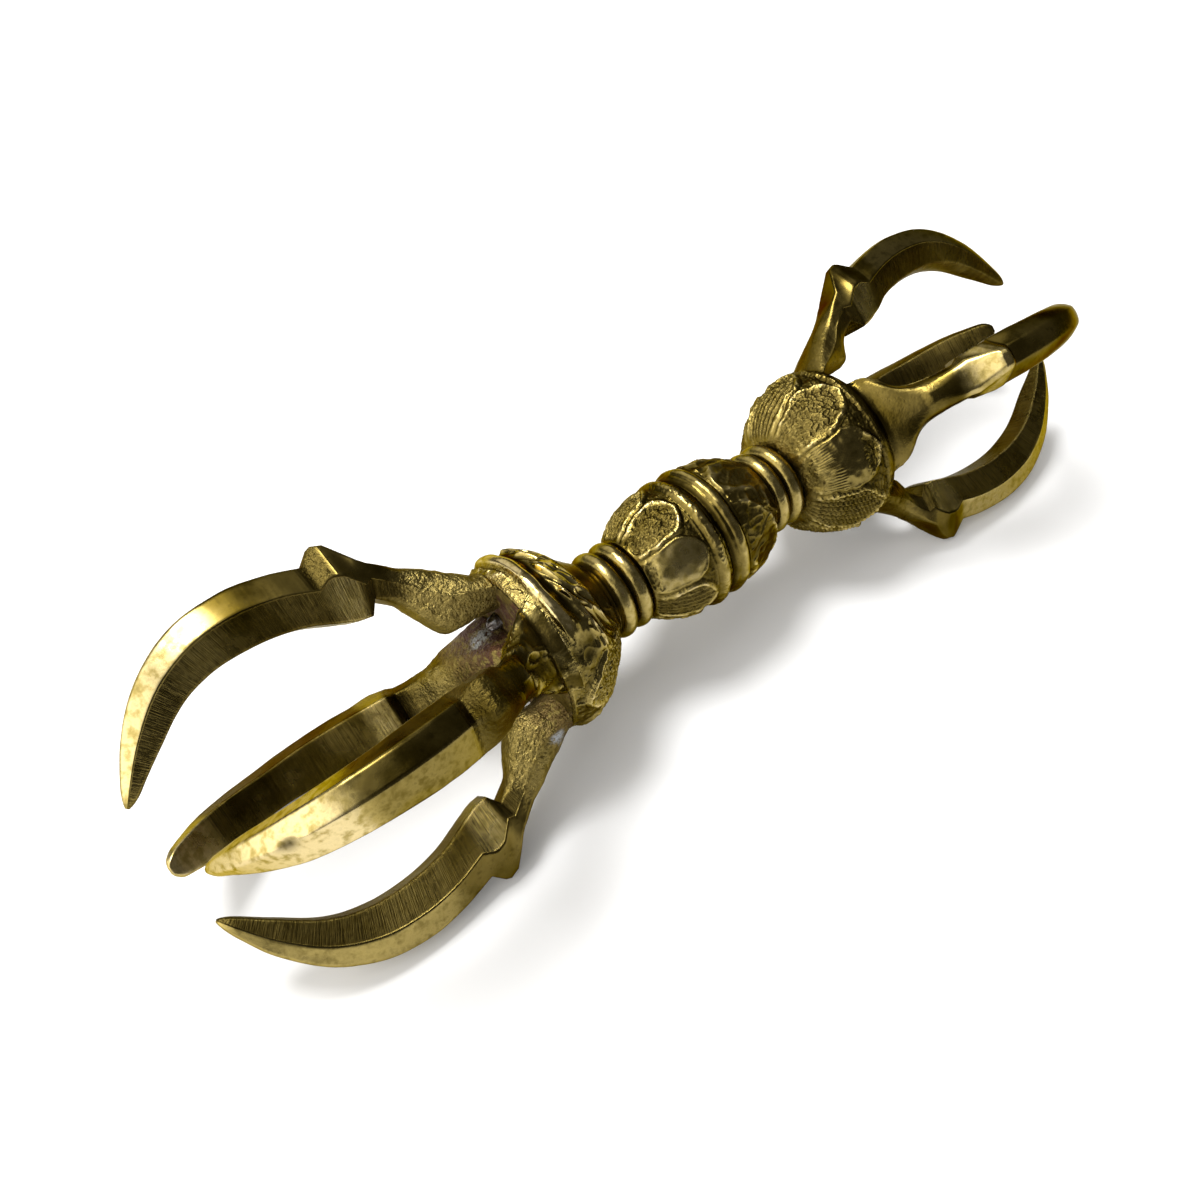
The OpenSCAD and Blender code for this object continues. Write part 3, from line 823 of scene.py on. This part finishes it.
# The smooth petal and its file marks as shares of their row, then where the rim begins and the carving ends
FAR_FLAT_FROM, FAR_FLAT_TO, HATCH_TO, HATCH_GAPS = (0.06, 0.16), (0.66, 0.80), (0.30, 0.42), (-0.45, 0.1)
RIM_FROM, CARVED_TO = (RIM_X, RIM_X + 0.6), (RIM_X + 0.4, RIM_X + 1.2)
# Fades at the neck and at the crown
FAR_NECK, FAR_LIP = (0.0, 0.9), (0.0, 0.5)
FAR_RAISED, FAR_WEAR, FAR_RAISED_WEAR, FAR_FLAT_WEAR = (0.05, 0.45), 0.13, 0.55, 0.16
# Waves round the axis lower down: where they set in by height, their own height, closeness and sway
WAVY_FROM, WAVY_HEIGHT, WAVY_CLOSE, WAVY_SWAY = (-0.30, -0.10), 0.10, 9.0, 3.0
NEAR_PHASE, NEAR_ROW, NEAR_PETAL, NEAR_BROAD = math.radians(180), 13.5, 13.0, 0.4
NEAR_HIGHEST, NEAR_DEEPEST = 0.65, 0.9
# The near head's top lies between two angles, and the fold on it fades towards the front
TOP = tuple(math.radians(v) for v in (28, 42, 152, 164))
FOLD_FADE = tuple(math.radians(v) for v in (118, 142))
FOLD_MIDDLE, LEAF_MIDDLE = math.radians(90), math.radians(106)
FOLD_SLANT, LEAF_SLANT = 0.9, 5.4
FOLD_CREST, FOLD_VALLEY, FOLD_LIP = (0.95, -0.2, 1.05), (-0.75, -2.4, 0.9), (-0.3, 1.3, 0.4)
FOLD_WEAR = (0.1, 0.1, 0.6)
FRONT_GAP, FRONT_GAP_X = (-0.55, math.radians(147), 0.13), (25.5, 28.5)
NECK_GROOVE = (-0.3, HEAD_X + 0.5, 0.6)
# Distances from the fold's crest: the leaf, the low ground by the collar, and creases on the rim
LEAF_FROM, LEAF_TO, LOW_FROM, RIM_CREASES = (2.6, 3.6), (7.0, 8.2), (6.8, 8.2), (1.3, 1.8)
NEAR_NECK, NEAR_LIP = (0.2, 2.2), (0.0, 0.6)
NEAR_RAISED, NEAR_WEAR, NEAR_RAISED_WEAR = (0.10, 0.45), 0.33, 0.42
# Casting skin all over, more on the petals, and more between the fold and the crown
NEAR_CAST, NEAR_PETAL_CAST, NEAR_RIM_CAST, RIM_CAST_FROM = 0.06, 0.35, 0.6, (0.5, 1.2)


def calm(x, a):
    """Falls to 0 on the rim where the upper front foot laps over it."""
    return 1 - step(np.abs(x), *LAPPED_X) * drop(np.abs(a - LAPPED_ANGLE), *LAPPED_HALF)


def far_relief(x, a, r):
    """Petals under a beaded rim, with the carving wavy round the axis lower down."""
    out = np.abs(x)
    along = np.clip((out - HEAD_X) / FAR_ROW, 0, 1)
    lift, inside, flat, grainy, coarse = lotus(x, a, r, along, FAR_PHASE, FAR_PETAL, FAR_BROAD, 31.0)
    # The petal at the front is filed smooth, with file marks left near the collar
    flat = flat * step(along + 0.04 * coarse, *FAR_FLAT_FROM) * drop(along + 0.05 * grainy, *FAR_FLAT_TO)
    hatch = 0.07 * lines_along(a, coarse, FILE_LINES) * drop(along, *HATCH_TO) * step(coarse, *HATCH_GAPS)
    lift = lift * (1 - flat) + flat * (-0.05 + hatch + 0.05 * coarse)
    lower = step(-np.sin(a), *WAVY_FROM)
    lift += lower * WAVY_HEIGHT * np.sin(WAVY_CLOSE * out + WAVY_SWAY * coarse)
    rim = ridge(out, *RIM_BEAD) * (0.6 + 0.9 * coarse) + ridge(out, *RIM_GROOVE) + 0.14 * grainy
    edge = step(out - HEAD_X, *FAR_NECK) * drop(out, *CARVED_TO)
    lift = lift * edge + rim * step(out, *RIM_FROM) + 0.10 * coarse * step(out - HEAD_X, 0, 1)
    worn = FAR_WEAR + FAR_RAISED_WEAR * step(lift, *FAR_RAISED) + FAR_FLAT_WEAR * flat
    cast = (1 - flat) * (CARVED_CAST + PETAL_CAST * inside)
    return np.minimum(lift, FAR_HIGHEST) * step(CROWN_X - out, *FAR_LIP) * calm(x, a), worn, cast


def fold_relief(x, a, r):
    """A fold with a valley and a creased leaf beside it; also the distance from its crest and its fading."""
    out = np.abs(x)
    swirl = field(x, a, r, 0.10, 41)
    folds = field(x, a, r, 0.26, 43)
    fine = field(x, a, r, 1.3, 47)
    # Distance from the fold's crest towards the rim, and from the leaf's middle across it, in millimetres
    v = out - RIM_X + FOLD_SLANT * (a - FOLD_MIDDLE) + 0.4 * swirl + 0.3 * folds
    across = out + LEAF_SLANT * (a - LEAF_MIDDLE) + 0.8 * swirl
    flow = np.stack([0.30 * across, 1.15 * a, 0.5 * folds], -1).reshape(-1, 3)
    creases = (crests(flow, 1.0, 49, 6) + 0.6 * crests(flow, 1.9, 51, 7)).reshape(x.shape)
    folded = drop(a, *FOLD_FADE)
    leaf = step(-v, *LEAF_FROM) * drop(-v + 0.5 * folds, *LEAF_TO)
    lift = folded * (ridge(v, *FOLD_CREST) + ridge(v, *FOLD_VALLEY) + ridge(v, *FOLD_LIP))
    lift += leaf * (0.9 * creases - 0.36) - 0.38 * step(-v, *LOW_FROM) + 0.22 * folds + 0.03 * fine
    lift += step(v, *RIM_CREASES) * (0.5 * creases - 0.2)
    lift += 0.25 * (1 - folded) * (1 - leaf) * (creases - 0.5)
    lift += ridge(a, *FRONT_GAP) * step(out, *FRONT_GAP_X)
    return lift, v, folded


def near_relief(x, a, r):
    """The fold over the top, and petals over the sides and below."""
    out = np.abs(x)
    lift, v, folded = fold_relief(x, a, r)
    along = np.clip((out - HEAD_X) / NEAR_ROW, 0, 1)
    top = between(a, *TOP)
    petal_lift = lotus(x, a, r, along, NEAR_PHASE, NEAR_PETAL, NEAR_BROAD, 61.0)[0]
    lift = lift * top + 1.15 * petal_lift * (1 - top)
    lift = lift * step(out - HEAD_X, *NEAR_NECK) + ridge(out, *NECK_GROOVE)
    worn = NEAR_WEAR + NEAR_RAISED_WEAR * step(lift, *NEAR_RAISED) + folded * top * ridge(v, *FOLD_WEAR)
    most = np.where(lift > 0, NEAR_HIGHEST, NEAR_DEEPEST)
    lift = most * np.tanh(lift / most)
    cast = NEAR_CAST + NEAR_PETAL_CAST * (1 - top) + NEAR_RIM_CAST * top * step(v, *RIM_CAST_FROM)
    return lift * step(CROWN_X - out, *NEAR_LIP) * calm(x, a), worn, cast


# Collars: two round rings with a groove between them and at both ends
COLLAR_MIDDLE, COLLAR_R = 0.5 * (COLLAR_X + HEAD_X), 6.2
COLLAR_RING, COLLAR_RING_R, COLLAR_RING_HALF = 1.65, 6.0, 1.6
COLLAR_UNEVEN = ((0.3, 0.08, 51), (1.2, 0.03, 53))
COLLAR_WORN, COLLAR_CAST = 0.2, 0.08
MIDDLE_GROOVE, END_GROOVE, COLLAR_WEAR = (-0.3, 0.0, 0.25), (-0.25, 3.2, 0.3), (0.4, COLLAR_RING, 0.9)


def collar_radius(x):
    from_middle = np.abs(np.abs(x) - COLLAR_MIDDLE)
    bead = COLLAR_RING_HALF ** 2 - (from_middle - COLLAR_RING) ** 2
    return np.maximum(COLLAR_R, np.where(bead > 0, COLLAR_RING_R + np.sqrt(np.maximum(bead, 0)), 0))


def collar_relief(x, a, r):
    from_middle = np.abs(np.abs(x) - COLLAR_MIDDLE)
    lift = layers(around(x, a, r), 0.0, COLLAR_UNEVEN).reshape(x.shape)
    lift += ridge(from_middle, *MIDDLE_GROOVE) + ridge(from_middle, *END_GROOVE)
    return lift, COLLAR_WORN + ridge(from_middle, *COLLAR_WEAR), np.full_like(x, COLLAR_CAST)


# Points along and round each turned piece
HUB_GRID, COLLAR_GRID, HEAD_GRID = (217, 448), (97, 256), (151, 640)
hub_xs = np.linspace(-COLLAR_X, COLLAR_X, HUB_GRID[0])
collar_xs = np.linspace(COLLAR_X, HEAD_X, COLLAR_GRID[0])
head_xs = np.linspace(HEAD_X, CROWN_X, HEAD_GRID[0])
carved("hub", hub_xs, HUB_GRID[1], hub_radius, hub_relief, HUB_MAT)
NEAR, FAR = -1, 1
HEADS = ((NEAR, "near", near_relief, FOLD_MAT), (FAR, "far", far_relief, HEAD_MAT))
for sign, label, head_relief, head_mat in HEADS:
    carved(label + "_collar", sign * collar_xs, COLLAR_GRID[1], collar_radius, collar_relief, COLLAR_MAT)
    carved(label + "_head", sign * head_xs, HEAD_GRID[1], head_radius, head_relief, head_mat)


# Crowns: a lumpy braze over each and a bead of solder, in millimetres
BRAZE_GRID, BRAZE_HOLE = (60, 160), 0.02
BRAZE_LUMPS = ((0.5, 0.25, 0), (1.6, 0.1, 0))
BRAZE_LEVEL, BRAZE_LOWEST, BRAZE_HIGHEST = SEAT_X - 0.12, -0.25, 0.12
BRAZE_EDGE, BRAZE_EDGE_DROP = (12.2, BRAZE_R), 0.35
BRAZE_FINISH = {"cast": 0.8, "worn": 0.2, "sunk_and_shade": 0.2}
# Noise that says where flux stains it: scale, the slice it is taken from and the values where it sets in
FLUX_SCALE, FLUX_SLICE, FLUX_FROM = 0.3, 2.0, (-0.5, 0.2)
BEAD_GRID = (24, 48)
BEAD_FROM_AXIS, BEAD_R, BEAD_HEIGHT, BEAD_SINK = 5.8, 1.5, 2.2, 0.2
BEAD_ANGLE = math.radians(45)
BEAD_SHRINK, BEAD_SHRINK_SCALE, BEAD_TOP_R = 0.12, 0.9, 0.01
BEAD_ROUGH, BEAD_ROUGH_SCALE = (0.12, 0.1, 0.1), 1.3


def lumpy_disc(name, sign, seed):
    """Braze with an uneven face and a flat back, as one tube that turns back on itself at the edge."""
    rings, turns = BRAZE_GRID
    r, a = np.meshgrid(np.linspace(BRAZE_HOLE, 1, rings) * BRAZE_R, angles(turns), indexing="ij")
    lumps = layers(around(np.full_like(r, seed), a, r), seed, BRAZE_LUMPS).reshape(r.shape)
    face = BRAZE_LEVEL + np.clip(lumps, BRAZE_LOWEST, BRAZE_HIGHEST) - BRAZE_EDGE_DROP * step(r, *BRAZE_EDGE)
    x = np.concatenate([face, np.full_like(r, CROWN_X)])
    p = around(sign * x, np.concatenate([a, a]), np.concatenate([r, r[::-1]])) + ON_AXIS
    stain = np.zeros_like(x)
    stain[:rings] = step(field(np.full_like(r, FLUX_SLICE), a, r, FLUX_SCALE, seed + 4), *FLUX_FROM)
    finish = {k: np.full(x.size, v) for k, v in BRAZE_FINISH.items()}
    finish["stain"] = stain.ravel()
    make_piece(name, p, tube_faces(2 * rings, turns, sign == FAR), BRAZE_MAT, finish)


def solder_bead(name, sign, seed):
    """Uneven dome of solder where the solid's dome is, lower and softer."""
    rings, turns = BEAD_GRID
    up, a = np.meshgrid(np.linspace(0.0, 1.0, rings), angles(turns), indexing="ij")
    uneven = field(np.full_like(up, seed), a, up * BEAD_R, BEAD_SHRINK_SCALE, seed)
    size = 1 - BEAD_SHRINK * (1 + uneven)
    r = BEAD_R * np.cos(HALF_PI * up) * size + BEAD_TOP_R
    x = SEAT_X - BEAD_SINK + (BEAD_HEIGHT + BEAD_SINK) * np.sin(HALF_PI * up) * size
    y, z = turned(BEAD_FROM_AXIS + r * np.cos(a), r * np.sin(a), BEAD_ANGLE)
    p = np.stack([sign * x, y, z], -1).reshape(-1, 3) + ON_AXIS
    p += rough(p, BEAD_ROUGH_SCALE, seed)[:, None] * np.array(BEAD_ROUGH)
    make_piece(name, p, tube_faces(rings, turns, sign == NEAR), SOLDER_MAT)


for sign, label, seed in ((NEAR, "near", 60.0), (FAR, "far", 70.0)):
    lumpy_disc(label + "_braze", sign, seed)
    solder_bead(label + "_solder", sign, seed)

# The rod keeps its solid, which can't be seen
rod_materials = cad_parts["tie_rod"].data.materials
rod_materials.clear()
rod_materials.append(COLLAR_MAT)

# Floor: white, with a faint glow for the camera and for reflections, in metres
FLOOR_SIZE, FLOOR_GRAIN, FLOOR_GLOW = 6, 40, 0.12
FLOOR_DARK, FLOOR_PALE = (0.80, 0.80, 0.80, 1), (0.82, 0.82, 0.82, 1)


def floor_material():
    mat, t = new_material("floor")
    path = add(t, "LightPath").outputs
    reflected = calc(t, "MAXIMUM", path["Is Glossy Ray"], path["Is Transmission Ray"])
    seen = calc(t, "MAXIMUM", path["Is Camera Ray"], reflected)
    speckle = grain(t, add(t, "TexCoord").outputs["Object"], FLOOR_GRAIN, 2)
    white = mix(t, ramp(t, speckle, 0.2, 0.8), FLOOR_DARK, FLOOR_PALE)
    diffuse = add(t, "BsdfDiffuse", {"Color": white}).outputs[0]
    strength = calc(t, "MULTIPLY", seen, FLOOR_GLOW)
    glow = add(t, "Emission", {"Color": (1, 1, 1, 1), "Strength": strength}).outputs[0]
    add(t, "OutputMaterial", {"Surface": add(t, "AddShader", {0: diffuse, 1: glow}).outputs[0]})
    return mat


bpy.ops.mesh.primitive_plane_add(size=FLOOR_SIZE, location=(0, 0, 0))
floor = bpy.context.object
floor.name = "floor"
floor.data.materials.append(floor_material())

# Studio: a dim room with bright patches: direction, the cosines where each fades and fills, and strength
ROOM_COLOUR, ROOM_STRENGTH = (1.0, 0.98, 0.94, 1), 0.115
PATCHES = (
    ((-0.93, 0.1, 0.32), 0.55, 0.95, 2.8),
    ((0.15, 0.8, 0.45), 0.90, 0.97, 0.9),
    ((-0.35, 0.25, 0.9), 0.80, 0.98, 0.5),
)
# Lamps: place in metres, size in metres and power in watts, aimed at the origin
LAMPS = {"key": ((-0.12, 0.30, 0.92), 0.42, 9.5), "top": ((0.0, 0.10, 1.1), 0.9, 1.6)}


def studio():
    world = bpy.data.worlds.new("studio")
    bpy.context.scene.world = world
    world.use_nodes = True
    t = world.node_tree
    t.nodes.clear()
    aim = add(t, "TexCoord").outputs["Generated"]
    strength = ROOM_STRENGTH
    for direction, fades, fills, patch_strength in PATCHES:
        facing = add(t, "VectorMath", {0: aim, 1: Vector(direction).normalized()}, operation="DOT_PRODUCT")
        patch = ramp(t, facing.outputs["Value"], fades, fills)
        strength = calc(t, "ADD", strength, calc(t, "MULTIPLY", patch, patch_strength))
    room = add(t, "Background", {"Color": ROOM_COLOUR, "Strength": strength})
    add(t, "OutputWorld", {"Surface": room.outputs[0]})


def lamp(name, place, size, power):
    data = bpy.data.lights.new(name, "AREA")
    data.shape = "DISK"
    data.size = size
    data.energy = power
    obj = bpy.data.objects.new(name, data)
    obj.location = place
    obj.rotation_euler = (-Vector(place)).to_track_quat("-Z", "Y").to_euler()
    bpy.context.scene.collection.objects.link(obj)


studio()
for lamp_name, lamp_setting in LAMPS.items():
    lamp(lamp_name, *lamp_setting)

# Camera, fitted to the photograph: place in metres, turn in degrees, lens in millimetres
CAMERA_PLACE = (-0.0779526, -0.0895429, 0.1208828 + AXIS * MM)
CAMERA_TURN = (42.63733, 2.76087, -40.81345)
LENS, SENSOR, SHIFT = 30.55, 36, (-0.0436, -0.0237)
NEAREST = 0.01

camera = bpy.data.cameras.new("camera")
camera.sensor_width = SENSOR
camera.lens = LENS
camera.shift_x, camera.shift_y = SHIFT
camera.clip_start = NEAREST
camera_object = bpy.data.objects.new("camera", camera)
camera_turn = Euler([math.radians(v) for v in CAMERA_TURN])
camera_object.matrix_world = Matrix.LocRotScale(Vector(CAMERA_PLACE), camera_turn, None)
bpy.context.scene.collection.objects.link(camera_object)
bpy.context.scene.camera = camera_object
bpy.context.scene.view_settings.view_transform = "Standard"
